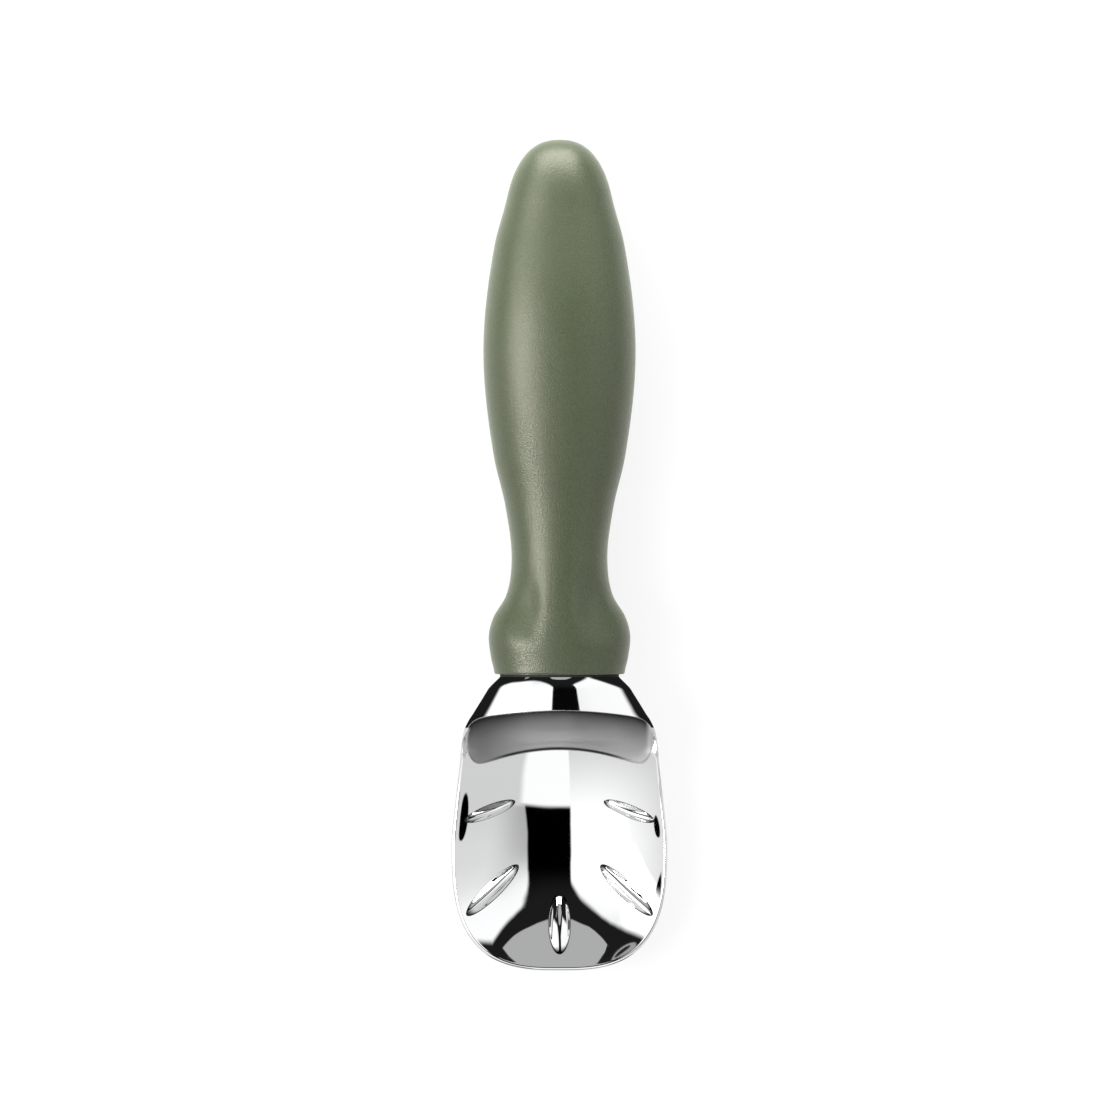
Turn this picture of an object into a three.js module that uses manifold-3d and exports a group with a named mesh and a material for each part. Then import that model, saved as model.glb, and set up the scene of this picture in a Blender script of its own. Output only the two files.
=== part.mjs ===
// Ice cream scoop lying on its back with the bowl open upwards.
// Millimetres, +Z up. The bowl points to -Y and the handle's butt to +Y, with the table at z = 0.
// Along the head, t runs from the handle's mouth to the tip.
// Along the handle, d runs from the mouth to the butt.
import * as THREE from 'three';
import { mergeVertices } from 'three/addons/utils/BufferGeometryUtils.js';
import Module from 'manifold-3d';

const wasm = await Module();
wasm.setup();
const { clamp, lerp, smootherstep, degToRad } = THREE.MathUtils;

// Lengths on either side of the handle's mouth, and the height of the tang's axis
const HEAD_LENGTH = 67.9;
const HANDLE_LENGTH = 122.1;
const AXIS_HEIGHT = 13.4;

// Head seen from above: neck, bowl sides and rounded tip
const NECK_WIDTH = 28.4;
const NECK_FLARE = 0.625;
const SHOULDER_ROUND = 2;
const BOWL_WIDTH = 49.6;
const SIDE_TAPER = 0.12;
const SIDE_ROUND = 3.1;
const TIP_RUN = 29;
const TIP_POWER = 2.9;

// Head seen from the side: crown of the neck, crest above the back wall, rim and underside
const NECK_TOP = 23.5;
const NECK_DROP = 0.5;
const NECK_ROUND = 3.2;
const NECK_UNDER = 3.7;
const CREST_AT = 8.5;
const CREST_HEIGHT = 24.5;
const CREST_ROUND = 0.2;
const CREST_BOW = 1.6;
const CREST_CUT = 0.17;
const FOOT_AT = 17.1;
const FOOT_BOW = 3.5;
const FOOT_CUT = 0.39;
const FOOT_FILLET = 1.2;
const WALL_WIDTH = 36;
const WALL_SAG = 0.14;
const RIM_START = 18;
const RIM_BACK = 14;
const RIM_TIP = 10.4;
const RIM_FALL = 6;
const RIM_THICKNESS = 0.7;
const RIM_RUN = 1.15;
const SIDE_TURN_START = 11;
const SIDE_TURN_END = 19;
const FLOOR_HEIGHT = 2.4;
const FLOOR_RADIUS = 45;
const UNDER_RUN = 30;
const LAND_DEPTH = 0.9;

// Steepness of the neck, and of the bowl's inside and outside, where they reach the outline, in degrees
const NECK_STEEP = 44;
const INSIDE_STEEP = 38.5;
const INSIDE_STEEP_TIP = 32;
const OUTSIDE_STEEP = 50;
const OUTSIDE_STEEP_TIP = 42;

// Release ribs: height above the bowl, plan places of the outer and inner end (x, t), and widths
const RIB_HEIGHT = 1.4;
const RIB_ROOT = 0.9;
const RIBS = [
  { outer: [-21.5, 33.6], inner: [-10.4, 29.3], width: 2.9 },
  { outer: [-21, 55], inner: [-9.7, 44.1], width: 3.7 },
  { outer: [0, 63.9], inner: [0, 50.7], width: 5 },
  { outer: [21, 55], inner: [9.7, 44.1], width: 3.7 },
  { outer: [21.5, 33.6], inner: [10.4, 29.3], width: 2.9 },
];

// Seal between the head's shoulder and the handle's mouth
const SEAL_THICKNESS = 0.6;
const SEAL_INSET = 0.6;
const SEAL_WIDTH = 4;

// Tang, its socket in the core, and the cross pins
const TANG_WIDTH = 10;
const TANG_HEIGHT = 8;
const TANG_LENGTH = 60;
const TANG_ROOT = 5;
const FIT = 0.3;
const PIN_DIAMETER = 4;
const PIN_RECESS = 0.5;
const FRONT_PIN_FROM_MOUTH = 8;
const REAR_PIN_FROM_TANG_END = 12;

// Handle: widths from the mouth to the butt (d, width), then tops and undersides (d, top, under)
const GRIP_WIDTHS = [
  [0, 29.8], [4, 31.4], [9, 32.3], [13, 30.2], [18, 24.4], [26, 21.9],
  [38, 24.6], [50, 30.1], [74, 34.8], [98, 29.7], [110, 23.6], [122, 21.3],
];
const GRIP_HEIGHTS = [
  [0, 24, 2.6], [9, 24.5, 2.1], [26, 23.6, 3.2], [74, 26.6, 0], [122, 22.4, 3.6],
];
const SECTION_POWER = 2.2;
const BUTT_RUN = 14;
const BUTT_POWER = 2.3;
const LIP_RADIUS = 0.5;

// Spine along the top and underside of the collar, between two places along the handle
const SPINE_START = 5.6;
const SPINE_END = 26;
const SPINE_STEP = 2;
const SPINE_WIDTH = 11.4;

// Layers inside the handle
const SKIN = 2.5;
const CORE_WALL = 2.8;
const CORE_WEB = 3;
const CAP_LENGTH = 16;
const SPIGOT_LENGTH = 8;

// Facets
const HEAD_COLUMNS = 48;
const NECK_ROWS = 7;
const WALL_ROWS = 14;
const BOWL_ROWS = 11;
const TIP_ROWS = 16;
const RIB_ROWS = 12;
const RIB_ACROSS = [1, 0.6, 0, -0.6, -1];
const GRIP_COLUMNS = 36;
const GRIP_ROWS = 34;
const CORE_ROWS = 22;
const BUTT_ROWS = 7;
const PIN_SIDES = 24;

const WIDEST = HEAD_LENGTH - TIP_RUN;
const MOUTH_Y = (HEAD_LENGTH - HANDLE_LENGTH) / 2;
const CORE_INSET = SKIN + FIT;
const FRONT_PIN_AT = FRONT_PIN_FROM_MOUTH;
const REAR_PIN_AT = TANG_LENGTH - REAR_PIN_FROM_TANG_END;
const CAP_AT = HANDLE_LENGTH - CAP_LENGTH;
const ANGLES = Array.from({ length: GRIP_COLUMNS }, (_, i) => (2 * Math.PI * i) / GRIP_COLUMNS);

/** Even steps from one value to another, both included. */
function spread(from, to, count) {
  return Array.from({ length: count + 1 }, (_, i) => lerp(from, to, i / count));
}

/** Lower of two values, with the corner rounded where they come within k of each other. */
function smoothMin(a, b, k) {
  const near = Math.max(k - Math.abs(a - b), 0) / k;
  return Math.min(a, b) - (near ** 3 * k) / 6;
}

const smoothMax = (a, b, k) => -smoothMin(-a, -b, k);

/** Smooth curve through (place, value) stations. */
function curveThrough(stations, column) {
  const places = stations.map((station) => station[0]);
  const values = stations.map((station) => station[column]);
  const curve = new THREE.CubicInterpolant(places, values, 1);
  return (place) => curve.evaluate(place)[0];
}

/** Half-width of the head's outline between the mouth and the widest place. */
function outlineHalfWidth(t) {
  const back = Math.max(WIDEST - t, 0);
  const side = BOWL_WIDTH / 2 - (SIDE_TAPER * back * back) / (back + SIDE_ROUND);
  const neck = NECK_WIDTH / 2 + NECK_FLARE * t;
  return smoothMin(neck, side, SHOULDER_ROUND);
}

/** 0 on the bowl's spine, 1 on the outline moved in by inset; squarer towards the tip's rim. */
function spanFraction(x, t, inset) {
  const across = Math.abs(x) / (outlineHalfWidth(Math.min(t, WIDEST)) - inset);
  const along = Math.max(t - WIDEST, 0) / (TIP_RUN - inset);
  const round = Math.hypot(across, along);
  const square = (across ** TIP_POWER + along ** TIP_POWER) ** (1 / TIP_POWER);
  return lerp(round, square, smootherstep(round, 0.3, 0.9));
}

/** Distance in plan from a point of the head to its outline. */
function edgeDistance(x, t) {
  if (t <= WIDEST) return outlineHalfWidth(t) - Math.abs(x);
  const fraction = spanFraction(x, t, 0);
  return (Math.hypot(x, t - WIDEST) * (1 - fraction)) / fraction;
}

/** Height of an arc at a fraction of its span, as a share of its height, ending at the angle given. */
function arcLift(fraction, degrees) {
  const end = degToRad(degrees);
  const sine = Math.min(fraction * Math.sin(end), 1);
  return (1 - Math.sqrt(1 - sine * sine)) / (1 - Math.cos(end));
}

const tipShare = (t) => clamp((t - WIDEST) / TIP_RUN, 0, 1) ** 2;

/** Height of the rim, which falls from the neck's shoulders to the tip and is level past it. */
function rimHeight(t) {
  const share = 1 - clamp(t - RIM_START, 0, HEAD_LENGTH - RIM_START) / (HEAD_LENGTH - RIM_START);
  return RIM_TIP + (RIM_BACK - RIM_TIP) * share ** RIM_FALL;
}

/** Crown of the neck: a straight line through the crest, rounded down before the mouth. */
function neckCrown(t) {
  const rounded = NECK_DROP * clamp(1 - t / NECK_ROUND, 0, 1) ** 2;
  return lerp(NECK_TOP, CREST_HEIGHT, t / CREST_AT) - rounded;
}

/** 0 on the neck, 1 along the bowl's rim. */
const sideTurn = (t) => smootherstep(t, SIDE_TURN_START, SIDE_TURN_END);

/** Height of the head's outline: the neck's arcs keep their angle as it widens, then it follows the rim. */
function edgeHeight(t) {
  const half = outlineHalfWidth(Math.min(t, WIDEST));
  const neck = neckCrown(t) - half * Math.tan(degToRad(NECK_STEEP) / 2);
  return lerp(neck, rimHeight(t) - RIM_THICKNESS, sideTurn(t));
}

/** Rounded top of the neck, which narrows to the rim's own rounding along the bowl. */
function lidHeight(x, t) {
  const turn = sideTurn(t);
  const crown = lerp(neckCrown(t), rimHeight(t), turn);
  const run = lerp(outlineHalfWidth(Math.min(t, WIDEST)), RIM_RUN, turn);
  const reach = clamp(edgeDistance(x, t) / run, 0, 1);
  const edge = edgeHeight(t);
  return edge + (crown - edge) * (1 - arcLift(1 - reach, lerp(NECK_STEEP, 90, turn)));
}

/** Inside of the bowl without its back wall. */
function troughHeight(x, t) {
  const back = Math.max(WIDEST - t, 0);
  const floor = FLOOR_HEIGHT + (back * back) / (2 * FLOOR_RADIUS);
  const steep = lerp(INSIDE_STEEP, INSIDE_STEEP_TIP, tipShare(t));
  return floor + (rimHeight(t) - floor) * arcLift(spanFraction(x, t, RIM_THICKNESS), steep);
}

/** Back wall of the bowl, slightly hollow from its foot in the trough up to the crest on the neck. */
function wallHeight(x, t) {
  const bow = (x / (WALL_WIDTH / 2)) ** 2;
  const crest = CREST_AT + CREST_BOW * bow + CREST_CUT * bow ** 8;
  const foot = Math.max(FOOT_AT + FOOT_BOW * bow - FOOT_CUT * bow ** 8, crest);
  const start = lidHeight(x, Math.min(crest, SIDE_TURN_END));
  const drop = Math.max(start - troughHeight(x, foot), CREST_ROUND * 2);
  const share = (t - crest) / Math.max(foot - crest, CREST_ROUND * 1.5);
  const sag = WALL_SAG * share * Math.max(1 - share, 0);
  return start - drop * (share + sag) - CREST_HEIGHT * Math.max(share - 1, 0);
}

function topHeight(x, t) {
  const hollow = smoothMax(wallHeight(x, t), troughHeight(x, t), FOOT_FILLET);
  return smoothMin(lidHeight(x, t), hollow, CREST_ROUND);
}

/** Underside of the head, with the flat land under the bowl at z = 0. */
function underHeight(x, t) {
  const lowest = lerp(NECK_UNDER, -LAND_DEPTH, smootherstep(t, 0, UNDER_RUN));
  const bowl = lerp(OUTSIDE_STEEP, OUTSIDE_STEEP_TIP, tipShare(t));
  const steep = lerp(90, bowl, smootherstep(t, 0, UNDER_RUN));
  const lift = arcLift(spanFraction(x, t, 0), steep);
  return Math.max(lowest + (edgeHeight(t) - lowest) * lift, 0);
}

/** Rows of (x, t) places over the head's plan, from the shoulder along the neck and round the tip. */
function headPlan() {
  const across = spread(-Math.PI / 2, Math.PI / 2, HEAD_COLUMNS).map(Math.sin);
  const bows = [[SEAL_THICKNESS, 0], [CREST_AT, CREST_BOW], [FOOT_AT, FOOT_BOW], [WIDEST, 0]];
  const bowAt = curveThrough(bows, 1);
  const starts = [
    ...spread(SEAL_THICKNESS, CREST_AT, NECK_ROWS),
    ...spread(CREST_AT, FOOT_AT, WALL_ROWS).slice(1),
    ...spread(FOOT_AT, WIDEST, BOWL_ROWS).slice(1),
  ];
  const rows = starts.map((start) => {
    const bow = bowAt(start);
    const half = outlineHalfWidth(start + bow);
    return across.map((h) => [half * h, start + bow * h * h]);
  });
  for (const angle of spread(0, Math.PI / 2, TIP_ROWS).slice(1)) {
    const side = (BOWL_WIDTH / 2) * Math.max(Math.cos(angle), 0) ** (2 / TIP_POWER);
    const forward = TIP_RUN * Math.sin(angle) ** (2 / TIP_POWER);
    const tip = angle === Math.PI / 2;
    rows.push(across.map((h) => [tip ? 0 : side * h, WIDEST + forward * Math.abs(h)]));
  }
  return rows;
}

/** Solid for joining and cutting, from a closed geometry with its shared corners welded. */
function toSolid(geometry) {
  const bare = geometry.clone();
  bare.deleteAttribute('normal');
  bare.deleteAttribute('uv');
  const welded = mergeVertices(bare, 1e-4);
  const corners = welded.index.array;
  const kept = [];
  for (let i = 0; i < corners.length; i += 3) {
    const [a, b, c] = corners.slice(i, i + 3);
    if (a !== b && b !== c && c !== a) kept.push(a, b, c);
  }
  const vertProperties = welded.attributes.position.array;
  const triVerts = Uint32Array.from(kept);
  return new wasm.Manifold(new wasm.Mesh({ numProp: 3, vertProperties, triVerts }));
}

function toGeometry(solid) {
  const { vertProperties, triVerts } = solid.getMesh();
  const geometry = new THREE.BufferGeometry();
  geometry.setAttribute('position', new THREE.BufferAttribute(vertProperties, 3));
  geometry.setIndex(new THREE.BufferAttribute(triVerts, 1));
  geometry.computeVertexNormals();
  return geometry;
}

function fromTriangles(points, corners) {
  const geometry = new THREE.BufferGeometry();
  geometry.setAttribute('position', new THREE.Float32BufferAttribute(points.flat(), 3));
  geometry.setIndex(corners);
  return geometry;
}

/** Closed skin through rings with equal counts of points, capped at both ends. */
function loft(rings) {
  const count = rings[0].length;
  const points = rings.flat();
  const corners = [];
  for (let i = 0; i + 1 < rings.length; i += 1) {
    for (let j = 0; j < count; j += 1) {
      const a = i * count + j;
      const b = i * count + ((j + 1) % count);
      corners.push(a, a + count, b, b, a + count, b + count);
    }
  }
  const last = (rings.length - 1) * count;
  for (let j = 1; j + 1 < count; j += 1) {
    corners.push(0, j, j + 1);
    corners.push(last, last + j + 1, last + j);
  }
  return fromTriangles(points, corners);
}

/** Bowl, neck and shoulder as one closed skin between the top and the underside. */
function headShell() {
  const plan = headPlan();
  const width = HEAD_COLUMNS + 1;
  const lower = plan.length * width;
  const skin = (heightAt) => plan.flatMap((row) => row.map(([x, t], column) => {
    const edge = column === 0 || column === HEAD_COLUMNS;
    return [x, -t, edge ? edgeHeight(t) : heightAt(x, t)];
  }));
  const points = [...skin(topHeight), ...skin(underHeight)];
  const corners = [];
  for (let c = 0; c < HEAD_COLUMNS; c += 1) {
    for (let r = 0; r + 1 < plan.length; r += 1) {
      const a = r * width + c;
      const b = a + width;
      corners.push(a, b, a + 1, a + 1, b, b + 1);
      corners.push(lower + a, lower + a + 1, lower + b, lower + a + 1, lower + b + 1, lower + b);
    }
    corners.push(c, c + 1, lower + c, c + 1, lower + c + 1, lower + c);
  }
  return fromTriangles(points, corners);
}

/** Point of the bowl's inside and its upward normal. */
function bowlPoint(x, t) {
  const step = 0.05;
  const slopeX = (troughHeight(x + step, t) - troughHeight(x - step, t)) / (2 * step);
  const slopeT = (troughHeight(x, t + step) - troughHeight(x, t - step)) / (2 * step);
  const point = new THREE.Vector3(x, -t, troughHeight(x, t));
  return { point, normal: new THREE.Vector3(-slopeX, slopeT, 1).normalize() };
}

/** Almond-shaped rib with a rounded section, rooted in the bowl's inside. */
function rib({ outer, inner, width }) {
  const places = spread(0, 1, RIB_ROWS).map((share) => bowlPoint(
    lerp(outer[0], inner[0], share),
    lerp(outer[1], inner[1], share),
  ));
  const rings = places.map(({ point, normal }, i) => {
    const before = places[Math.max(i - 1, 0)].point;
    const after = places[Math.min(i + 1, RIB_ROWS)].point;
    const forward = after.clone().sub(before).normalize();
    const side = forward.clone().cross(normal).normalize();
    const swell = (1 - ((2 * i) / RIB_ROWS - 1) ** 2) ** 0.5;
    const at = (across, up) => {
      const corner = point.clone().addScaledVector(side, across).addScaledVector(normal, up);
      return corner.toArray();
    };
    const sunk = RIB_ROOT / 3;
    const half = (width / 2) * (swell + sunk / RIB_HEIGHT);
    const rise = RIB_HEIGHT * swell + sunk;
    const section = RIB_ACROSS.map((v) => at(half * v, rise * (1 - v * v) ** 0.75 - sunk));
    return [...section, at(0, -RIB_ROOT)];
  });
  return toSolid(loft(rings));
}

const widthAt = curveThrough(GRIP_WIDTHS, 1);

/** Top or underside of the handle, easing from each station to the next. */
function handleHeight(d, column) {
  const next = GRIP_HEIGHTS.findIndex((station) => station[0] > d);
  if (next === -1) return GRIP_HEIGHTS.at(-1)[column];
  const [from, to] = [GRIP_HEIGHTS[next - 1], GRIP_HEIGHTS[next]];
  return lerp(from[column], to[column], smootherstep(d, from[0], to[0]));
}

/** Ring of points round the handle at d, moved in from the grip's outside by inset. */
function handleRing(d, inset) {
  const end = clamp((d - (HANDLE_LENGTH - BUTT_RUN)) / (BUTT_RUN - inset), 0, 1);
  const closing = (1 - end ** BUTT_POWER) ** (1 / BUTT_POWER);
  const short = inset === 0 ? Math.max(LIP_RADIUS - d, 0) : 0;
  const lip = LIP_RADIUS - Math.sqrt(LIP_RADIUS ** 2 - short ** 2);
  const top = handleHeight(Math.max(d, 0), 1);
  const under = handleHeight(Math.max(d, 0), 2);
  const spineAlong = clamp((d - SPINE_START) / (SPINE_END - SPINE_START), 0, 1);
  const step = SPINE_STEP * Math.sin(Math.PI * spineAlong) ** 2;
  const half = widthAt(d) / 2 - inset - lip;
  const rise = (top - under) / 2 - inset - lip - step;
  return ANGLES.map((angle) => {
    const cosine = Math.cos(angle);
    const sine = Math.sin(angle);
    const sum = Math.abs(cosine / half) ** SECTION_POWER + Math.abs(sine / rise) ** SECTION_POWER;
    const radius = sum ** (-1 / SECTION_POWER);
    const x = radius * cosine;
    const spine = step / (1 + (x / (SPINE_WIDTH / 2)) ** 6);
    return [x * closing, d, (top + under) / 2 + (radius + spine) * sine * closing];
  });
}

/** Places along the handle between two ends, closing in towards a butt that lies inset from the grip's. */
function handleRows(from, count, inset) {
  const straight = spread(from, HANDLE_LENGTH - BUTT_RUN, count);
  const butt = spread(0, Math.PI / 2, BUTT_ROWS).slice(1);
  return [...straight, ...butt.map((a) => HANDLE_LENGTH - BUTT_RUN + (BUTT_RUN - inset) * Math.sin(a))];
}

/** Handle-shaped solid from one place to the butt, moved in by inset. */
function handleSolid(from, count, inset) {
  const rings = handleRows(from, count, inset).map((d) => handleRing(d, inset));
  return toSolid(loft(rings));
}

/** Straight bar with the handle's section at one place, between two places along it. */
function handleBar(place, inset, from, to) {
  const ring = handleRing(place, inset);
  return toSolid(loft([from, to].map((d) => ring.map(([x, , z]) => [x, d, z]))));
}

function box(width, height, from, to) {
  const bar = new THREE.BoxGeometry(width, to - from, height);
  return toSolid(bar.translate(0, (from + to) / 2, AXIS_HEIGHT));
}

function crossPin(diameter, length, d) {
  const pin = new THREE.CylinderGeometry(diameter / 2, diameter / 2, length, PIN_SIDES);
  return toSolid(pin.rotateZ(Math.PI / 2).translate(0, d, AXIS_HEIGHT));
}

/** Length of a pin that ends under the core's surface all round. */
function pinLength(d) {
  const radius = PIN_DIAMETER / 2;
  const widths = [d - radius, d, d + radius].map(widthAt);
  return Math.min(...widths) - 2 * (CORE_INSET + PIN_RECESS);
}

function scoopHead() {
  let head = toSolid(headShell()).add(box(TANG_WIDTH, TANG_HEIGHT, -TANG_ROOT, TANG_LENGTH));
  for (const place of RIBS) head = head.add(rib(place));
  for (const d of [FRONT_PIN_AT, REAR_PIN_AT]) {
    head = head.subtract(crossPin(PIN_DIAMETER + 2 * FIT, TANG_WIDTH * 2, d));
  }
  return head;
}

function neckSeal() {
  const half = NECK_WIDTH / 2 - SEAL_INSET;
  const rise = (NECK_TOP - NECK_UNDER) / 2 - SEAL_INSET;
  const middle = (NECK_TOP + NECK_UNDER) / 2;
  const oval = (inset, from, to) => {
    const ringAt = (d) => ANGLES.map((angle) => [
      (half - inset) * Math.cos(angle),
      d,
      middle + (rise - inset) * Math.sin(angle),
    ]);
    return toSolid(loft([ringAt(from), ringAt(to)]));
  };
  return oval(0, -SEAL_THICKNESS, 0).subtract(oval(SEAL_WIDTH, -2 * SEAL_THICKNESS, SEAL_THICKNESS));
}

function handleCore() {
  const hollowFrom = TANG_LENGTH + FIT + CORE_WEB;
  const beyond = box(BOWL_WIDTH * 2, BOWL_WIDTH * 2, CAP_AT, HANDLE_LENGTH * 2);
  let core = handleSolid(0, CORE_ROWS, CORE_INSET).subtract(beyond);
  core = core.subtract(handleSolid(hollowFrom, CORE_ROWS, CORE_INSET + CORE_WALL));
  core = core.subtract(box(TANG_WIDTH + 2 * FIT, TANG_HEIGHT + 2 * FIT, -TANG_ROOT, TANG_LENGTH + FIT));
  for (const d of [FRONT_PIN_AT, REAR_PIN_AT]) {
    core = core.subtract(crossPin(PIN_DIAMETER + 2 * FIT, BOWL_WIDTH * 2, d));
  }
  return core;
}

function coreEndCap() {
  const before = box(BOWL_WIDTH * 2, BOWL_WIDTH * 2, -HANDLE_LENGTH, CAP_AT);
  const dome = handleSolid(0, CORE_ROWS, CORE_INSET).subtract(before);
  const spigotInset = CORE_INSET + CORE_WALL + FIT;
  return dome.add(handleBar(CAP_AT, spigotInset, CAP_AT - SPIGOT_LENGTH, CAP_AT + SPIGOT_LENGTH / 4));
}

function gripSkin() {
  const lipRows = [0, LIP_RADIUS * 0.2, LIP_RADIUS * 0.5];
  const rows = [...lipRows, ...handleRows(LIP_RADIUS, GRIP_ROWS, 0)];
  const outside = toSolid(loft(rows.map((d) => handleRing(d, 0))));
  const inside = handleSolid(0, CORE_ROWS, SKIN);
  const mouth = handleBar(0, SKIN, -SKIN, SKIN / 10);
  return outside.subtract(inside).subtract(mouth);
}

const scoop = new THREE.Group();
scoop.position.y = MOUTH_Y;

function addPart(name, solid, color, roughness, metalness) {
  const material = new THREE.MeshStandardMaterial({ color, roughness, metalness });
  const mesh = new THREE.Mesh(toGeometry(solid), material);
  mesh.name = name;
  scoop.add(mesh);
}

addPart('scoop_head', scoopHead(), 0xd8d9da, 0.06, 1);
addPart('neck_seal', neckSeal(), 0x1a1a1a, 0.7, 0);
addPart('handle_core', handleCore(), 0x33372f, 0.5, 0);
addPart('tang_pin_front', crossPin(PIN_DIAMETER, pinLength(FRONT_PIN_AT), FRONT_PIN_AT), 0xb0b3b5, 0.3, 1);
addPart('tang_pin_rear', crossPin(PIN_DIAMETER, pinLength(REAR_PIN_AT), REAR_PIN_AT), 0xb0b3b5, 0.3, 1);
addPart('core_end_cap', coreEndCap(), 0x33372f, 0.5, 0);
addPart('grip_skin', gripSkin(), 0x6b735c, 0.55, 0);

export default scoop;
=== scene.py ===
"""Ice cream scoop on a white table, seen from straight above, with a chrome head and a sage-green grip.

Sizes are millimetres, as in the part's source, and meshes are written in metres in the frame's own axes:
the bowl points to -Y, the handle's butt to +Y, and the bowl opens to +Z. Along the head, t runs from the
handle's mouth to the tip; along the handle, d runs from the mouth to the butt.
"""
import math

import bpy
import numpy as np
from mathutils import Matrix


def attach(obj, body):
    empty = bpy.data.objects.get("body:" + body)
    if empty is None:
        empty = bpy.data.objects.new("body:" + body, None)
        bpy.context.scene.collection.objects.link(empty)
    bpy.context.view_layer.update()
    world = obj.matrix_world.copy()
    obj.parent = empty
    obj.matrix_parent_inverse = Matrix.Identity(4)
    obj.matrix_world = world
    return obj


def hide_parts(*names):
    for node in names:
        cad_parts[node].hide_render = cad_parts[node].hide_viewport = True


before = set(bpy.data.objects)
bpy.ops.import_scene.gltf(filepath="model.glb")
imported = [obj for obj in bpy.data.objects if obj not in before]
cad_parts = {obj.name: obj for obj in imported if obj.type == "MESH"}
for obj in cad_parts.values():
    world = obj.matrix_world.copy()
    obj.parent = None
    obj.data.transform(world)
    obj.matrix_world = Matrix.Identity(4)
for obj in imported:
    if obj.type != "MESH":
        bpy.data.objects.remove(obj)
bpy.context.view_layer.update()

MM = 0.001

# Lengths on either side of the handle's mouth, and the height of the tang's axis
HEAD_LENGTH = 67.9
HANDLE_LENGTH = 122.1
MOUTH_Y = (HEAD_LENGTH - HANDLE_LENGTH) / 2
AXIS_HEIGHT = 13.4

# Head seen from above
NECK_WIDTH = 28.4
NECK_FLARE = 0.625
SHOULDER_ROUND = 2.0
BOWL_WIDTH = 49.6
SIDE_TAPER = 0.12
SIDE_ROUND = 3.1
TIP_RUN = 29.0
TIP_POWER = 2.9
WIDEST = HEAD_LENGTH - TIP_RUN

# Head seen from the side
NECK_TOP = 23.5
NECK_DROP = 0.5
NECK_ROUND = 3.2
NECK_UNDER = 3.7
NECK_STEEP = 44.0
CREST_AT = 8.5
CREST_HEIGHT = 24.5
CREST_ROUND = 0.2
CREST_BOW = 1.6
CREST_CUT = 0.17
FOOT_AT = 17.1
FOOT_BOW = 3.5
FOOT_CUT = 0.39
FOOT_FILLET = 1.2
WALL_WIDTH = 36.0
WALL_SAG = 0.14
WALL_LEAST_DROP = 0.4
WALL_LEAST_RUN = 0.3
RIM_START = 18.0
RIM_BACK = 14.0
RIM_TIP = 10.4
RIM_FALL = 6.0
RIM_THICKNESS = 0.7
RIM_RUN = 1.15
SIDE_TURN = (11.0, 19.0)
FLOOR_HEIGHT = 2.4
FLOOR_RADIUS = 45.0
UNDER_RUN = 30.0
LAND_DEPTH = 0.9
INSIDE_STEEP = (38.5, 32.0)
OUTSIDE_STEEP = (50.0, 42.0)
SEAL_THICKNESS = 0.6

# Shares of the half-span between which the tip's ellipses turn square, and those taken as its centre
SQUARING = (0.3, 0.9)
CENTRE_FRACTION = 1e-5
LEAST_FRACTION = 1e-6

# Satin back wall: where it starts and stops, measured from the crest and the foot, and its greys, which are
# painted shade: a grey rising from the crest, a dark line along the foot and a darker left end
SATIN_CREST = (-0.5, -0.2)
SATIN_FOOT = (0.1, 0.5)
PAINTED_SHADE_DARKEST = 0.03
PAINTED_SHADE_RISE = 0.57
PAINTED_SHADE_POWER = 2.2
FOOT_LINE = (-0.6, -0.1)
FOOT_LINE_DEPTH = 0.92
FOOT_LINE_FADE = (10.0, 19.0)
LEFT_SHADE = 0.4
LEFT_FADE = (4.0, 20.0)

# Rim beside the wall's ends: places t of its start and stop, depth from the edge, and its grey, a pale shade
# painted there and on the wall's right end
END_START = (11.8, 13.0)
END_STOP = (18.2, 19.6)
END_DEPTH = (0.9, 1.5)
END_SHADE = 0.72
RIGHT_END = (19.3, 21.0)

# Head's grid
HEAD_COLUMNS = 200
TIP_RAYS = 84

# Release ribs: heights, reach and painted dark shade at the root in shares of the oval plan, grid, and then
# the plan places of each outer and inner end (x, t) with its width
RIB_HEIGHT = 1.4
RIB_ROOT = 0.9
RIB_FILLET = 0.25
RIB_SINK = 0.015
RIB_REACH = 1.16
RIB_RINGS = 41
RIB_SPOKES = 96
CREASE_START = 0.93
CREASE_FULL = 1.02
CREASE_AT_ENDS = 0.2
CREASE_POWER = 6
RIBS = [
    ((-21.5, 33.6), (-10.4, 29.3), 2.9),
    ((-21.0, 55.0), (-9.7, 44.1), 3.7),
    ((0.0, 63.9), (0.0, 50.7), 5.0),
    ((21.0, 55.0), (9.7, 44.1), 3.7),
    ((21.5, 33.6), (10.4, 29.3), 2.9),
]

# Tang inside the handle
TANG_WIDTH = 10.0
TANG_HEIGHT = 8.0
TANG_LENGTH = 60.0
TANG_ROOT = 4.0
TANG_TAPER = 1.5
TANG_NOSE = 0.4
TANG_POWER = 6
TANG_COLUMNS = 48

# Handle: widths from the mouth to the butt (d, width), then tops and undersides (d, top, under)
GRIP_WIDTHS = [
    (0, 29.8), (4, 31.4), (9, 32.3), (13, 30.2), (18, 24.4), (26, 21.9),
    (38, 24.6), (50, 30.1), (74, 34.8), (98, 29.7), (110, 23.6), (122, 21.3),
]
GRIP_HEIGHTS = [(0, 24.0, 2.6), (9, 24.5, 2.1), (26, 23.6, 3.2), (74, 26.6, 0.0), (122, 22.4, 3.6)]
SECTION_POWER = 2.2
BUTT_RUN = 14.0
BUTT_POWER = 2.3
LIP_RADIUS = 0.5
SPINE_START = 5.6
SPINE_END = 26.0
SPINE_STEP = 2.0
SPINE_WIDTH = 11.4
SPINE_POWER = 6
SKIN = 2.5
GRIP_COLUMNS = 192

# Photograph: image side, the pixel over the scoop's middle, and millimetres to a pixel
IMAGE_SIDE = 1120
MIDDLE_PIXEL = (559.5, 555.5)
PIXEL = 0.2284
CAMERA_HEIGHT = 2500.0

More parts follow.
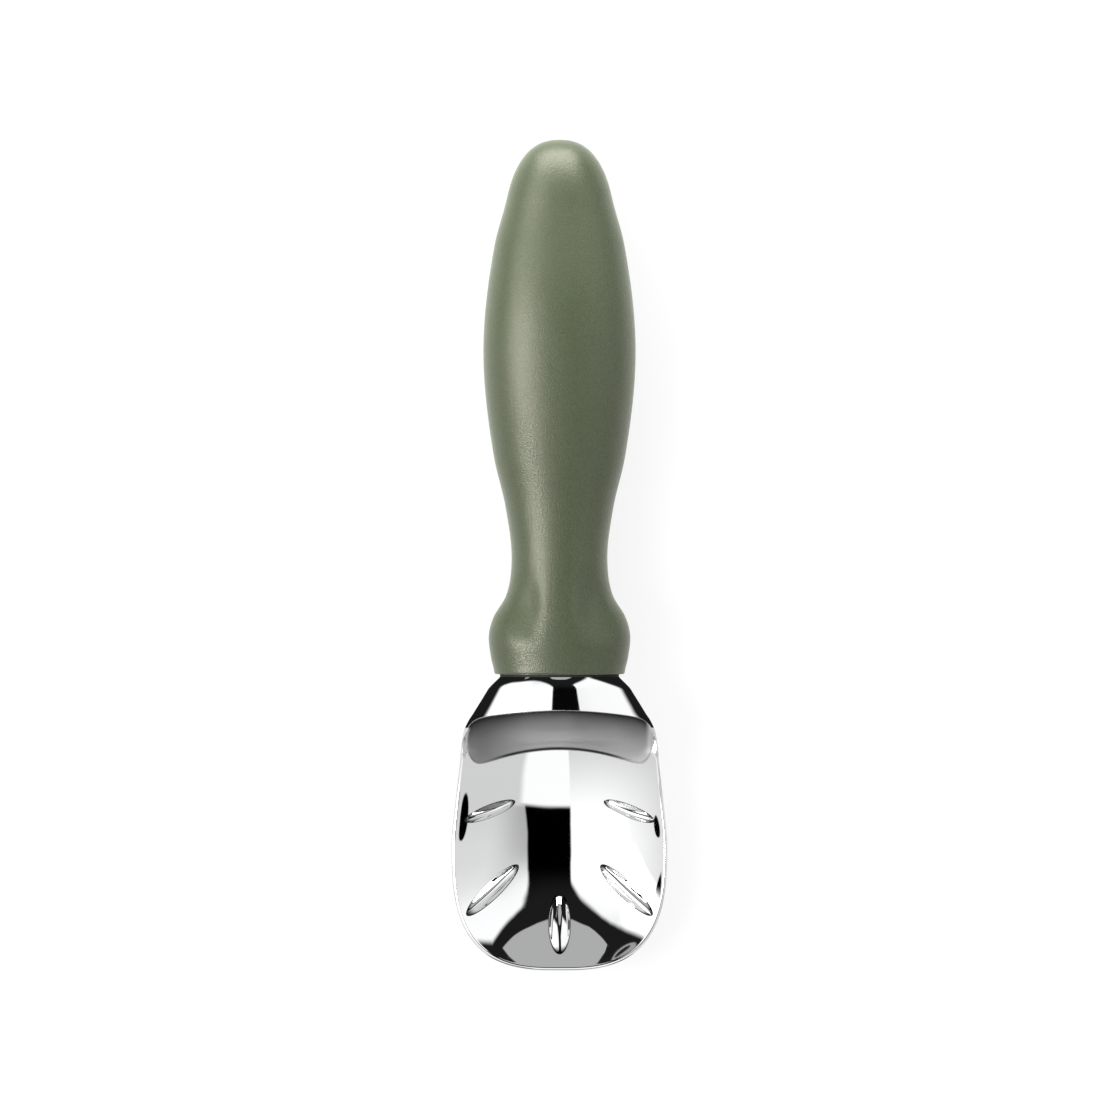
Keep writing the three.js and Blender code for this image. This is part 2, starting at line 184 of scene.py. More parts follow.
# Table top, and the share of its own white that the camera and mirrors see
TABLE_HALF = 260.0
TABLE_DROP = 0.02
TABLE_WHITE = 0.85

# Lamp beyond the butt: metres, watts and degrees
LAMP_SIZE = (0.30, 0.20)
LAMP_POWER = 1.5
LAMP_PLACE = (-0.03, 0.29, 0.105)
LAMP_TILT = -60.0

# Meshes: decimals of a millimetre at which corners are welded, and angles over which edges stay sharp
WELD_DECIMALS = 5
SHARP_DEGREES = 35.0
NEVER_SHARP = 180.0


def smooth_min(a, b, k):
    """Lower of a and b, less near^3 k / 6 where they come within k of each other."""
    near = np.maximum(k - np.abs(a - b), 0) / k
    return np.minimum(a, b) - near**3 * k / 6


def smooth_max(a, b, k):
    return -smooth_min(-a, -b, k)


def ease(value, start, end):
    """0 before start, 1 after end, and 6u^5 - 15u^4 + 10u^3 between."""
    u = np.clip((value - start) / (end - start), 0, 1)
    return u**3 * (u * (u * 6 - 15) + 10)


def mix(a, b, share):
    return a + (b - a) * share


def curve_through(stations):
    """Cubic through (place, value) stations whose slope at each is the mean of its two neighbours' chords."""
    places, values = np.array(stations, float).T
    chords = np.diff(values) / np.diff(places)
    slopes = np.concatenate([[0], (chords[1:] + chords[:-1]) / 2, [0]])

    def evaluate(place):
        place = np.clip(place, places[0], places[-1])
        i = np.clip(np.searchsorted(places, place, side="right") - 1, 0, len(places) - 2)
        run = places[i + 1] - places[i]
        p = (place - places[i]) / run
        ends = (2 * p**3 - 3 * p**2 + 1) * values[i] + (3 * p**2 - 2 * p**3) * values[i + 1]
        return ends + run * ((p**3 - 2 * p**2 + p) * slopes[i] + (p**3 - p**2) * slopes[i + 1])

    return evaluate


def outline_half_width(t):
    """Smaller of a straight flaring neck and a bowl side that draws in behind the widest place."""
    back = np.maximum(WIDEST - t, 0)
    side = BOWL_WIDTH / 2 - SIDE_TAPER * back**2 / (back + SIDE_ROUND)
    return smooth_min(NECK_WIDTH / 2 + NECK_FLARE * t, side, SHOULDER_ROUND)


def span_fraction(x, t, inset):
    """0 on the spine, 1 on the outline moved in by inset: ellipses near the middle of the tip turn into
    the outline's own squarer curve towards the rim."""
    across = np.abs(x) / (outline_half_width(np.minimum(t, WIDEST)) - inset)
    along = np.maximum(t - WIDEST, 0) / (TIP_RUN - inset)
    round_fraction = np.sqrt(across**2 + along**2)
    square_fraction = (across**TIP_POWER + along**TIP_POWER) ** (1 / TIP_POWER)
    return mix(round_fraction, square_fraction, ease(round_fraction, *SQUARING))


def edge_distance(x, t):
    """Plan distance to the outline, along a line from the tip's centre where t lies past the widest place."""
    straight = outline_half_width(np.minimum(t, WIDEST)) - np.abs(x)
    fraction = np.maximum(span_fraction(x, t, 0), LEAST_FRACTION)
    ray = np.hypot(x, np.maximum(t - WIDEST, 0)) * (1 - fraction) / fraction
    return np.where((t <= WIDEST) | (fraction < CENTRE_FRACTION), straight, ray)


def arc_lift(fraction, degrees):
    """Height of a circular arc at a fraction of its half-span, as a share of its end height."""
    end = np.radians(degrees)
    sine = np.minimum(fraction * np.sin(end), 1)
    return (1 - np.sqrt(1 - sine**2)) / (1 - np.cos(end))


def tip_share(t):
    return (np.maximum(t - WIDEST, 0) / TIP_RUN) ** 2


def rim_height(t):
    share = 1 - np.maximum(t - RIM_START, 0) / (HEAD_LENGTH - RIM_START)
    return RIM_TIP + (RIM_BACK - RIM_TIP) * share**RIM_FALL


def neck_crown(t):
    """Straight line from the mouth through the crest, rounded down over the last run before the mouth."""
    return mix(NECK_TOP, CREST_HEIGHT, t / CREST_AT) - NECK_DROP * np.clip(1 - t / NECK_ROUND, 0, 1) ** 2


def edge_height(t):
    """Height of the outline: the neck's arcs keep their angle as it widens, then it follows the rim."""
    neck = neck_crown(t) - outline_half_width(np.minimum(t, WIDEST)) * math.tan(math.radians(NECK_STEEP) / 2)
    return mix(neck, rim_height(t) - RIM_THICKNESS, ease(t, *SIDE_TURN))


def lid_height(x, t):
    """Quarter ellipse from the outline up to the crown, as wide as the neck and then as narrow as the rim."""
    turn = ease(t, *SIDE_TURN)
    crown = mix(neck_crown(t), rim_height(t), turn)
    run = mix(outline_half_width(np.minimum(t, WIDEST)), RIM_RUN, turn)
    reach = np.clip(edge_distance(x, t) / run, 0, 1)
    edge = edge_height(t)
    return edge + (crown - edge) * (1 - arc_lift(1 - reach, mix(NECK_STEEP, 90.0, turn)))


def trough_height(x, t):
    """Arcs across the bowl that stand on a floor curved along its length and end at the rim."""
    floor = FLOOR_HEIGHT + np.maximum(WIDEST - t, 0) ** 2 / (2 * FLOOR_RADIUS)
    steep = mix(*INSIDE_STEEP, tip_share(t))
    return floor + (rim_height(t) - floor) * arc_lift(span_fraction(x, t, RIM_THICKNESS), steep)


def wall_lines(x):
    """Places t of the crest and the foot, both bowed by the square of x and drawn together past the wall's
    width by its sixteenth power."""
    bow = (x / (WALL_WIDTH / 2)) ** 2
    return CREST_AT + CREST_BOW * bow + CREST_CUT * bow**8, FOOT_AT + FOOT_BOW * bow - FOOT_CUT * bow**8


def wall_height(x, t):
    """Slightly hollow lines from the foot in the trough up to the crest on the neck."""
    crest, foot = wall_lines(x)
    start = lid_height(x, np.minimum(crest, SIDE_TURN[1]))
    drop = np.maximum(start - trough_height(x, np.maximum(foot, crest)), WALL_LEAST_DROP)
    q = (t - crest) / np.maximum(foot - crest, WALL_LEAST_RUN)
    past = np.maximum(q - 1, 0)
    return start - drop * (q + WALL_SAG * q * np.maximum(1 - q, 0)) - CREST_HEIGHT * past


def satin_share(x, t):
    """1 on the back wall from the crest to the foot, and on the rim beside its ends."""
    crest, foot = wall_lines(x)
    wall = ease(t - crest, *SATIN_CREST) * (1 - ease(t - foot, *SATIN_FOOT))
    return np.maximum(wall, end_share(x, t))


def end_share(x, t):
    """1 on the strip of rim beside the back wall's two ends."""
    along = ease(t, *END_START) * (1 - ease(t, *END_STOP))
    return along * (1 - ease(edge_distance(x, t), *END_DEPTH))


def satin_shade(x, t):
    """Painted shade of the back wall: a grey painted into the colour that rises from the crest as 1 - (1 - q)
    to the shade's power, falls again to a painted dark line along the foot, strongest in the middle, is
    painted darker towards the left end, and pale on the right end and on the rim beside both ends."""
    crest, foot = wall_lines(x)
    q = np.clip((t - crest) / np.maximum(foot - crest, WALL_LEAST_RUN), 0, 1)
    # Painted shade: a dark line along the foot, a grey rising from the crest, darker left end, pale ends
    line = FOOT_LINE_DEPTH * ease(t - foot, *FOOT_LINE) * (1 - ease(np.abs(x), *FOOT_LINE_FADE))
    rise = PAINTED_SHADE_DARKEST + PAINTED_SHADE_RISE * (1 - (1 - q) ** PAINTED_SHADE_POWER)
    shade = rise * (1 - line) * (1 - LEFT_SHADE * ease(-x, *LEFT_FADE))
    return mix(shade, END_SHADE, np.maximum(end_share(x, t), ease(x, *RIGHT_END)))


def top_height(x, t):
    hollow = smooth_max(wall_height(x, t), trough_height(x, t), FOOT_FILLET)
    return smooth_min(lid_height(x, t), hollow, CREST_ROUND)


def under_height(x, t):
    """Arcs below the rim that flatten to the land at z = 0 under the bowl."""
    lowest = mix(NECK_UNDER, -LAND_DEPTH, ease(t, 0, UNDER_RUN))
    steep = mix(90.0, mix(*OUTSIDE_STEEP, tip_share(t)), ease(t, 0, UNDER_RUN))
    lift = arc_lift(span_fraction(x, t, 0), steep)
    return np.maximum(lowest + (edge_height(t) - lowest) * lift, 0)


def head_plan(columns):
    """Rows of (x, t) from the shoulder along the neck and bowl, then rays round the tip.

    Across a row h = sin(angle), so columns crowd towards the rim; rows bow with the crest and the foot.
    Each stretch of rows has its start, its end and its number of rows."""
    h = np.sin(np.linspace(-np.pi / 2, np.pi / 2, columns + 1))
    bow_at = curve_through([(SEAL_THICKNESS, 0), (CREST_AT, CREST_BOW), (FOOT_AT, FOOT_BOW), (WIDEST, 0)])
    crest_start, crest_end = CREST_AT - 1, CREST_AT + 2
    foot_start, foot_end = FOOT_AT - 1.5, FOOT_AT + 1.5
    stretches = [
        (SEAL_THICKNESS, crest_start, 26), (crest_start, crest_end, 34), (crest_end, foot_start, 30),
        (foot_start, foot_end, 22), (foot_end, WIDEST, 48),
    ]
    starts = np.concatenate([np.linspace(a, b, n, endpoint=False) for a, b, n in stretches] + [[WIDEST]])
    bow = bow_at(starts)
    half = outline_half_width(starts + bow)
    x_rows = half[:, None] * h
    t_rows = starts[:, None] + bow[:, None] * h**2
    angle = np.linspace(0, np.pi / 2, TIP_RAYS + 1)[1:]
    side = BOWL_WIDTH / 2 * np.maximum(np.cos(angle), 0) ** (2 / TIP_POWER)
    side[-1] = 0
    forward = TIP_RUN * np.sin(angle) ** (2 / TIP_POWER)
    x_rays = side[:, None] * h
    t_rays = WIDEST + forward[:, None] * np.abs(h)
    return np.concatenate([x_rows, x_rays]), np.concatenate([t_rows, t_rays])


def grid_quads(rows, columns, first=0, around=False):
    """Corner numbers of the quads of a grid of points, row by row, facing out of the row x column order."""
    index = first + np.arange(rows * columns).reshape(rows, columns)
    across = np.roll(index, -1, 1) if around else index[:, 1:]
    near = index if around else index[:, :-1]
    return np.stack([near[:-1], near[1:], across[1:], across[:-1]], -1).reshape(-1, 4)


def mesh_piece(name, points, quads, finish=None, sharp_degrees=SHARP_DEGREES):
    """Object with the given corners in millimetres from the mouth: equal corners are welded, quads that
    shrink to triangles lose a corner and those that shrink to lines are dropped."""
    _, keep, number = np.unique(np.round(points, WELD_DECIMALS), axis=0, return_index=True,
                                return_inverse=True)
    quads = number.reshape(-1)[quads]
    distinct = [sorted(set(quad), key=list(quad).index) for quad in quads.tolist()]
    placed = (points[keep] + [0, MOUTH_Y, 0]) * MM
    mesh = bpy.data.meshes.new(name)
    mesh.from_pydata(placed.tolist(), [], [face for face in distinct if len(face) > 2])
    mesh.shade_smooth()
    mesh.set_sharp_from_angle(angle=math.radians(sharp_degrees))
    for layer, values in (finish or {}).items():
        attribute = mesh.attributes.new(layer, "FLOAT", "POINT")
        attribute.data.foreach_set("value", values[keep].astype(np.float32))
    piece = bpy.data.objects.new(name, mesh)
    bpy.context.scene.collection.objects.link(piece)
    return piece


def scoop_bowl():
    """Bowl and neck: the top and the underside are heights over one plan, joined along the outline and
    closed by the flat shoulder."""
    x, t = head_plan(HEAD_COLUMNS)

    def skin(height_at):
        z = height_at(x, t)
        z[:, [0, -1]] = edge_height(t)[:, [0, -1]]
        return np.stack([x, -t, z], -1).reshape(-1, 3)

    rows, columns = x.shape
    upper = grid_quads(rows, columns)
    lower = grid_quads(rows, columns, rows * columns)[:, ::-1]
    first = np.arange(columns - 1)
    shoulder = np.stack([first, first + 1, first + 1 + rows * columns, first + rows * columns], -1)
    points = np.concatenate([skin(top_height), skin(under_height)])
    # Attributes: the share of satin roughness and the back wall's painted shade
    satin = {name: np.concatenate([finish(x, t).ravel(), np.zeros(x.size)])
             for name, finish in (("satin", satin_share), ("satin_shade", satin_shade))}
    return mesh_piece("scoop_bowl", points, np.concatenate([upper, lower, shoulder]), satin)


def release_rib(number, outer, inner, width):
    """Long dome on the bowl's inside over an oval plan: at a share r of the oval it stands 1 - r^2 high along
    the bowl's own normal, faired into the bowl past r = 1, and its root lies below the bowl. Where it meets
    the bowl a dark band of painted shade runs round it, wider at the oval's two ends."""
    rings = np.linspace(0, RIB_REACH, RIB_RINGS)
    spokes = np.linspace(0, 2 * np.pi, RIB_SPOKES, endpoint=False)
    r, angle = np.meshgrid(rings, spokes, indexing="ij")
    outer, inner = np.array(outer), np.array(inner)
    length = np.hypot(*(inner - outer))
    along = (inner - outer) / length
    forward, aside = length / 2 * r * np.cos(angle), width / 2 * r * np.sin(angle)
    x = (outer[0] + inner[0]) / 2 + along[0] * forward - along[1] * aside
    t = (outer[1] + inner[1]) / 2 + along[1] * forward + along[0] * aside
    step = 0.05
    slope_x = (trough_height(x + step, t) - trough_height(x - step, t)) / (2 * step)
    slope_t = (trough_height(x, t + step) - trough_height(x, t - step)) / (2 * step)
    normal = np.stack([-slope_x, slope_t, np.ones_like(x)], -1)
    normal /= np.linalg.norm(normal, axis=-1, keepdims=True)
    base = np.stack([x, -t, trough_height(x, t)], -1)
    crest = RIB_HEIGHT * smooth_max(1 - r**2, np.zeros_like(r), RIB_FILLET) - RIB_SINK
    root = -RIB_SINK - RIB_ROOT * (1 - (r / RIB_REACH) ** 2)
    sheets = [base + normal * height[..., None] for height in (crest, root)]
    rows, columns = r.shape
    quads = np.concatenate([grid_quads(rows, columns, 0, True),
                            grid_quads(rows, columns, rows * columns, True)[:, ::-1]])
    # Painted shade: the colour darkens over a band round the root, wider at the two ends
    crease = ease(r, CREASE_START - CREASE_AT_ENDS * np.cos(angle) ** CREASE_POWER, CREASE_FULL)
    finish = {"crease": np.tile(crease.ravel(), 2)}
    points = np.concatenate([sheet.reshape(-1, 3) for sheet in sheets])
    return mesh_piece(f"release_rib_{number}", points, quads, finish, NEVER_SHARP)


def head_tang():
    """Rounded bar along the axis: a squared oval carried from inside the neck to a narrowed end. Each
    station has its place and its share of the full size."""
    angle = np.linspace(0, 2 * np.pi, TANG_COLUMNS, endpoint=False)
    cosine, sine = np.cos(angle), np.sin(angle)
    radius = (np.abs(cosine) ** TANG_POWER + np.abs(sine) ** TANG_POWER) ** (-1 / TANG_POWER)
    stations = [
        (-TANG_ROOT, 0), (-TANG_ROOT, 1), (0, 1), (TANG_LENGTH - TANG_TAPER, 1),
        (TANG_LENGTH - TANG_NOSE, 0.93), (TANG_LENGTH, 0.85), (TANG_LENGTH, 0),
    ]
    places, shares = np.array(stations, float).T
    size = shares[:, None] / 2
    x = TANG_WIDTH * size * radius * cosine
    z = AXIS_HEIGHT + TANG_HEIGHT * size * radius * sine
    points = np.stack([x, np.broadcast_to(places[:, None], x.shape), z], -1)
    return mesh_piece("head_tang", points.reshape(-1, 3), grid_quads(*x.shape, around=True))


def handle_heights(d, column):
    """Height at d, eased from each station to the next."""
    stations = np.array(GRIP_HEIGHTS)
    height = np.full_like(d, stations[0, column])
    for before, after in zip(stations[:-1], stations[1:]):
        height = height + (after[column] - before[column]) * ease(d, before[0], after[0])
    return height


def handle_rings(d, inset, closing):
    """Rings of the handle: a superellipse of the width and height at d, moved in by inset, with a spine
    that stands out of the collar, all drawn in by closing towards the butt."""
    angle = np.linspace(0, 2 * np.pi, GRIP_COLUMNS, endpoint=False)
    cosine, sine = np.cos(angle), np.sin(angle)
    top, under = handle_heights(d, 1), handle_heights(d, 2)
    spine_along = np.clip((d - SPINE_START) / (SPINE_END - SPINE_START), 0, 1)
    step = (SPINE_STEP * np.sin(np.pi * spine_along) ** 2)[:, None]
    half = (curve_through(GRIP_WIDTHS)(d) / 2 - inset)[:, None]
    rise = ((top - under) / 2 - inset)[:, None] - step
    total = np.abs(cosine / half) ** SECTION_POWER + np.abs(sine / rise) ** SECTION_POWER
    radius = total ** (-1 / SECTION_POWER)
    spine = step / (1 + (radius * cosine / (SPINE_WIDTH / 2)) ** SPINE_POWER)
    x = radius * cosine * closing[:, None]
    z = ((top + under) / 2)[:, None] + (radius + spine) * sine * closing[:, None]
    return np.stack([x, np.broadcast_to(d[:, None], x.shape), z], -1)


def grip_skin():
    """Grip as one sheet carried from the inner pole of the butt to the mouth, round the lip and back along
    the outside to the butt."""
    straight = HANDLE_LENGTH - BUTT_RUN

    def side(d, inset, butt_rows):
        """Rings at the places d, then over the butt, whose end is drawn in as a superellipse."""
        along = np.sin(np.linspace(0, np.pi / 2, butt_rows + 1)[1:])
        closing = (1 - along**BUTT_POWER) ** (1 / BUTT_POWER)
        places = np.concatenate([d, straight + (BUTT_RUN - inset) * along])
        return handle_rings(places, inset, np.concatenate([np.ones_like(d), closing]))

    inner = side(np.linspace(0, straight, 60), SKIN, 16)[::-1]
    turn = np.linspace(0, np.pi / 2, 9)
    lip = handle_rings(LIP_RADIUS * (1 - np.cos(turn)), LIP_RADIUS * (1 - np.sin(turn)), np.ones_like(turn))
    outer = side(np.linspace(LIP_RADIUS, straight, 216)[1:], 0, 40)
    rings = np.concatenate([inner, lip, outer])
    return mesh_piece("grip", rings.reshape(-1, 3), grid_quads(*rings.shape[:2], around=True))


class Value:
    """A socket of a node tree; arithmetic on it adds Math nodes."""

    def __init__(self, tree, socket):
        self.tree, self.socket = tree, socket

    def math(self, operation, *values):
        return self.tree.add("ShaderNodeMath", {"operation": operation}, dict(enumerate(values or [self])))

    def __add__(self, other):
        return self.math("ADD", self, other)

    def __sub__(self, other):
        return self.math("SUBTRACT", self, other)

    def __rsub__(self, other):
        return self.math("SUBTRACT", other, self)

    def __mul__(self, other):
        return self.math("MULTIPLY", self, other)

    __rmul__ = __mul__


class Tree:
    """Node tree of a material or the world."""

    def __init__(self, owner):
        owner.use_nodes = True
        self.nodes, self.links = owner.node_tree.nodes, owner.node_tree.links
        self.nodes.clear()

    def add(self, kind, settings=None, inputs=None, output=0):
        """Node of a kind: its settings first, then values or links for its sockets; gives one output."""
        node = self.nodes.new(kind)
        for name, value in (settings or {}).items():
            if name == "stops":
                ramp = node.color_ramp.elements
                for number, (place, colour) in enumerate(value):
                    stop = ramp[number] if number < len(ramp) else ramp.new(place)
                    stop.position, stop.color = place, colour
            else:
                setattr(node, name, value)
        for name, value in (inputs or {}).items():
            if isinstance(value, Value):
                self.links.new(value.socket, node.inputs[name])
            else:
                node.inputs[name].default_value = value
        return Value(self, node.outputs[output]) if len(node.outputs) else node

    def step(self, value, start, end):
        """0 to 1 as value goes from start to end, smoothly."""
        limits = {"Value": value, "From Min": start, "From Max": end}
        return self.add("ShaderNodeMapRange", {"interpolation_type": "SMOOTHSTEP"}, limits)

    def window(self, value, low, high, soft_low, soft_high):
        """1 between low and high, fading over a soft width at each end."""
        rise = self.step(value, low - soft_low, low + soft_low)
        return rise * (1 - self.step(value, high - soft_high, high + soft_high))

    def curve(self, value, stations):
        """Straight lines through (place, height) stations, level past the two ends."""
        places, heights = zip(*stations)
        run, rise = places[-1] - places[0], max(heights) - min(heights)
        shares = [(h - min(heights)) / rise for h in heights]
        stops = [((p - places[0]) / run, (s, s, s, 1)) for p, s in zip(places, shares)]
        ramp = self.add("ShaderNodeValToRGB", {"stops": stops}, {"Fac": (value - places[0]) * (1 / run)})
        return ramp * rise + min(heights)

    def oval(self, u, w, middle, radii, turn=0, soft=0.1):
        """1 inside an oval round a middle, turned by degrees, that fades from 1 - soft to 1 + soft of
        its radii."""
        cosine, sine = math.cos(math.radians(turn)), math.sin(math.radians(turn))
        du, dw = u - middle[0], w - middle[1]
        across = (du * cosine + dw * sine) * (1 / radii[0])
        along = (dw * cosine - du * sine) * (1 / radii[1])
        return 1 - self.step((across * across + along * along).math("SQRT"), 1 - soft, 1 + soft)

    def noise(self, scale, detail=2.0, roughness=0.5):
        place = self.add("ShaderNodeTexCoord", output="Object")
        sockets = {"Vector": place, "Scale": scale, "Detail": detail, "Roughness": roughness}
        return self.add("ShaderNodeTexNoise", None, sockets)

    def blend(self, share, first, second):
        """Colour mixed from first to second by share."""
        sockets = {"Factor": share, 6: first, 7: second}
        return self.add("ShaderNodeMix", {"data_type": "RGBA"}, sockets, output=2)

    def bump(self, height, distance, strength=1.0):
        sockets = {"Height": height, "Distance": distance, "Strength": strength}
        return self.add("ShaderNodeBump", None, sockets)


def surface(name, build):
    """Material whose Principled sockets are what build gives for its tree."""
    material = bpy.data.materials.new(name)
    tree = Tree(material)
    shader = tree.add("ShaderNodeBsdfPrincipled", None, build(tree))
    tree.add("ShaderNodeOutputMaterial", None, {"Surface": shader})
    return material


def chrome_plating(tree):
    """Mirror plating: faint polishing haze in the roughness and a slight waviness of the casting below, with
    a satin back wall whose grey is painted shade, and painted dark shade in the creases round the ribs."""
    haze = tree.noise(60.0, 4.0)
    specks = tree.noise(900.0, 3.0)
    polish = tree.step(haze, 0.35, 0.75) * 0.03 + tree.step(specks, 0.62, 0.75) * 0.03 + 0.012
    # Attributes: the satin wall's share, its painted shade, and the painted dark shade in the ribs' creases
    satin, shade, crease = (tree.add("ShaderNodeAttribute", {"attribute_name": name}, output="Fac")
                            for name in ("satin", "satin_shade", "crease"))
    roughness = polish + tree.step(satin, 0.0, 0.4) * (haze * 0.06 + 0.40)
    bright = tree.blend(haze, (0.87, 0.875, 0.885, 1), (0.91, 0.912, 0.915, 1))
    # Colour: painted shade on the satin wall and painted dark shade in the ribs' creases
    tint = tree.blend(crease, tree.blend(satin, bright, shade), (0.02, 0.02, 0.02, 1))
    wave = tree.bump(tree.noise(140.0, 1.0), 0.00002)
    return {"Base Color": tint, "Metallic": 1.0, "Roughness": roughness, "Normal": wave}


def sage_grain(tree):
    """Moulded sage-green plastic with a fine spark-eroded grain, whose pits are darker and duller."""
    grain = tree.noise(3100.0, 2.0, 0.5)
    cloud = tree.noise(45.0, 3.0)
    land = tree.step(grain, 0.36, 0.62)
    pit_green = (0.039, 0.051, 0.028, 1)
    land_green = (0.061, 0.076, 0.042, 1)
    pale_green = (0.064, 0.074, 0.044, 1)
    faded = tree.blend(cloud * 0.25, tree.blend(land, pit_green, land_green), pale_green)
    roughness = tree.step(cloud, 0.3, 0.7) * 0.04 - land * 0.05 + 0.34
    return {"Base Color": faded, "Roughness": roughness, "Specular IOR Level": 0.65,
            "Specular Tint": (1.0, 0.965, 0.82, 1), "Sheen Weight": 0.22, "Sheen Roughness": 0.45,
            "Sheen Tint": (0.75, 0.85, 0.58, 1), "Normal": tree.bump(grain, 0.00009, 0.9)}


def black_rubber(tree):
    dust = tree.noise(1500.0, 3.0)
    colour = tree.blend(dust, (0.006, 0.006, 0.006, 1), (0.02, 0.02, 0.019, 1))
    return {"Base Color": colour, "Roughness": dust * 0.2 + 0.6, "Normal": tree.bump(dust, 0.00003)}


def filled_nylon(tree):
    """Glass-filled core plastic with short pale fibres in a dark green-grey."""
    fibre = tree.noise(1200.0, 5.0, 0.7)
    colour = tree.blend(tree.step(fibre, 0.5, 0.8), (0.030, 0.036, 0.026, 1), (0.085, 0.09, 0.075, 1))
    return {"Base Color": colour, "Roughness": fibre * 0.2 + 0.45, "Normal": tree.bump(fibre, 0.00004)}


def ground_steel(tree):
    """Centreless-ground pin: fine rings round the X axis."""
    place = tree.add("ShaderNodeTexCoord", output="Object")
    across = tree.add("ShaderNodeMapping", None, {"Vector": place, "Scale": (9000.0, 60.0, 60.0)})
    rings = tree.add("ShaderNodeTexNoise", None, {"Vector": across, "Scale": 1.0, "Detail": 2.0})
    colour = tree.blend(rings, (0.50, 0.51, 0.52, 1), (0.62, 0.63, 0.64, 1))
    return {"Base Color": colour, "Metallic": 1.0, "Roughness": rings * 0.15 + 0.22,
            "Normal": tree.bump(rings, 0.00001)}


def studio_world():
    """Studio seen by the object: a bright softbox on the left with a hot middle and a leaning strip that
    lights the grip, a dimmer one on the right, a dark gap overhead where the camera stands, a white card
    beyond the bowl, grey cards low before and behind, small dark stands, a dark flag and a faint glint. The
    camera itself sees white.

    u is the angle from overhead towards +X, w the angle from overhead towards +Y, both in degrees."""
    world = bpy.data.worlds.new("studio")
    bpy.context.scene.world = world
    tree = Tree(world)
    direction = tree.add("ShaderNodeTexCoord", output="Generated")
    x, y, z = (tree.add("ShaderNodeSeparateXYZ", None, {0: direction}, output=i) for i in range(3))
    u = x.math("ARCTAN2", x, z) * math.degrees(1)
    w = y.math("ARCSINE", y) * math.degrees(1)

    # Far ends of the softboxes, and what stands before them
    far = tree.curve(u, [
        (-85, 24), (-65, 31), (-52, 32), (-40, 33.5), (-33, 33.5), (-25, 31.5), (-18, 28), (-12, 23.5),
        (-7, 17), (16, 23), (20, 27), (30, 33.5), (41, 40.5), (50, 36.5), (58, 33), (85, 21),
    ])
    reach = tree.step(w, -55, -53) * (1 - tree.step(w - far, -3.5, 1.5))
    stand_right = tree.oval(u, w, (69.2, -13.0), (3.3, 7.2))
    stand_left = tree.oval(u, w, (-70, -10.5), (2.2, 3.0))
    stands = (1 - stand_right) * (1 - stand_left)
    flag_lean = (w - 15) * 0.48
    flag = tree.oval(u - flag_lean, w, (-63.5, 15), (2.6, 14.0), 0, 0.08) * (1 - tree.step(w, 4.5, 9.5))
    glint = tree.oval(u, w, (-39, 46), (14.0, 2.8), 40) * (1 - tree.oval(u, w, (-38, 45.8), (9.0, 1.0), 40))

    # Edges of the gap overhead
    gap_right = tree.curve(w, [(-21, 24), (-8, 21.5), (10, 20.5), (18, 18.5), (24, 16)])
    before = 1 - tree.step(w, -24, -21)
    beside_left = tree.step(u, -8.2, -6.8)
    beside_right = tree.step(u - gap_right, -0.8, 0.8) * (1 - before) + tree.step(u, 24, 30) * before

    # The two softboxes and their levels
    left = (1 - beside_left) * tree.step(u - tree.step(w, 0, 3) * 23, -101, -95) * reach * stands * (1 - flag)
    glow = tree.oval(u, w, (-18, -2), (45.0, 34.0), 0, 0.75)
    high_left = tree.step(w, 8, 14) * (1 - tree.step(u, -45, -30)) * 0.45
    strip_level = tree.curve(w, [(-20, 0), (-14, 8), (-7, 13), (-2, 40), (3, 17), (7, 4), (14, 1), (20, 0)])
    strip_lean = tree.curve(w, [(-10, 0), (-4, 0), (0, 10), (4, 18), (10, 22), (20, 24)])
    strip = tree.window(u + strip_lean, -43, -26, 6, 6) * strip_level
    right = beside_right * (1 - tree.step(u + tree.step(w, 0, 3) * 16, 95, 101)) * reach * stands
    right_level = tree.curve(w, [(-55, 0.7), (-18, 0.7), (0, 0.79), (6, 0.87), (14, 1.06), (30, 1.1)])
    near_gap = (1 - tree.step(u, 20, 50)) * tree.window(w, -21.5, 10, 1, 8)

    # Cards beyond the bowl, before it and behind the handle
    card = beside_left * (1 - beside_right) * tree.window(w, -62, -22.5, 2, 1.5)
    front = (1 - tree.step(w, -68, -63)) * (tree.step(w, -89, -73) * 0.33 + 0.1)
    low = tree.curve(u, [
        (-24, 46), (-15, 40), (-10, 36), (-3, 34.5), (8, 35), (15, 38), (25, 42.5), (33, 46),
    ])
    high = tree.curve(u, [
        (-24, 45), (-22, 51), (-17, 57), (-11, 62), (-4, 66), (8, 63), (20, 58), (27, 52), (33, 45),
    ])
    back = tree.step(w - low, -0.6, 0.6) * (1 - tree.step(w - high, -0.6, 0.6))

    light = left * (glow * 0.5 + high_left + strip + 0.7) + right * right_level * (1 - 0.36 * near_gap)
    light = light + card * 1.1 + front + back * 0.45 + glint * 0.35 + tree.step(w, 8, 25) * 0.012
    camera = tree.add("ShaderNodeLightPath", output="Is Camera Ray")
    seen = light * (1 - camera) + camera
    background = tree.add("ShaderNodeBackground", None, {"Color": (1, 1, 1, 1), "Strength": seen})
    tree.add("ShaderNodeOutputWorld", None, {"Surface": background})


def butt_lamp():
    """Soft rectangular lamp low beyond the handle's butt."""
    data = bpy.data.lights.new("butt_lamp", "AREA")
    data.shape = "RECTANGLE"
    data.size, data.size_y = LAMP_SIZE
    data.energy = LAMP_POWER
    lamp = bpy.data.objects.new("butt_lamp", data)
    lamp.location = LAMP_PLACE
    lamp.rotation_euler = (math.radians(LAMP_TILT), 0, 0)
    bpy.context.scene.collection.objects.link(lamp)


